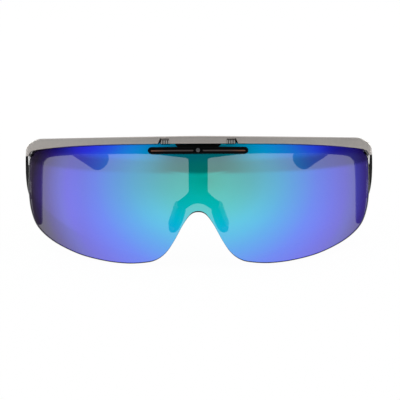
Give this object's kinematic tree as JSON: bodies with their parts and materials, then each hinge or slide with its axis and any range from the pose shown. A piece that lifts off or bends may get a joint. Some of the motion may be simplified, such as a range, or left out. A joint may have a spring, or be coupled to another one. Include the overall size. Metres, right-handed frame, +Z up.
{
  "type": "wraparound sport sunglasses",
  "caption": "Wraparound shield sunglasses: one curved mirrored lens under a grey brow cover on a black frame, with soft nose pads and folding temples.",
  "frame": {"origin": "on the table that the glasses stand on, under the middle of their bounding box", "axes": "+X to the wearer's left, +Y from the lens back along the open temples, +Z up from the table; the lens leans back by 16.5 degrees because the glasses stand on the lower edge of the lens and on the two temple tips"},
  "size_m": [0.152, 0.1568, 0.0514],
  "materials": {
    "frame_plastic": "injection moulded, semi-gloss black",
    "brow_paint": "moulded, with a satin warm grey metallic paint",
    "mirror_lens": "polycarbonate with a blue to green to violet mirror coat",
    "bar_plastic": "gloss black",
    "bar_inlay": "satin russet line",
    "bright_steel": "bright turned steel",
    "clip_metal": "ribbed satin grey",
    "pad_rubber": "soft matt black",
    "hinge_steel": "brushed steel",
    "temple_plastic": "injection moulded, gloss black",
    "tip_rubber": "soft matt black"
  },
  "bodies": {
    "front": {"inner_frame": "frame_plastic", "brow_cover": "brow_paint", "shield_lens": "mirror_lens", "lens_bar": "bar_plastic", "left_bar_inlay": "bar_inlay", "right_bar_inlay": "bar_inlay", "bar_rivet": "bright_steel", "left_brow_clip": "clip_metal", "right_brow_clip": "clip_metal", "left_nose_pad": "pad_rubber", "right_nose_pad": "pad_rubber", "left_frame_hinge": "hinge_steel", "right_frame_hinge": "hinge_steel", "left_hinge_screw": "bright_steel", "right_hinge_screw": "bright_steel"},
    "left_arm": {"left_temple": "temple_plastic", "left_temple_tip": "tip_rubber", "left_temple_hinge": "hinge_steel"},
    "right_arm": {"right_temple": "temple_plastic", "right_temple_tip": "tip_rubber", "right_temple_hinge": "hinge_steel"}
  },
  "joints": [
    {"name": "left_temple_fold", "type": "hinge", "parent": "front", "child": "left_arm", "pos_m": [0.0693, -0.03345, 0.02719], "axis": [0, 0.2842, 0.9588], "range_deg": [0, 87]},
    {"name": "right_temple_fold", "type": "hinge", "parent": "front", "child": "right_arm", "pos_m": [-0.0693, -0.03345, 0.02719], "axis": [0, -0.2842, -0.9588], "range_deg": [0, 73]}
  ]
}
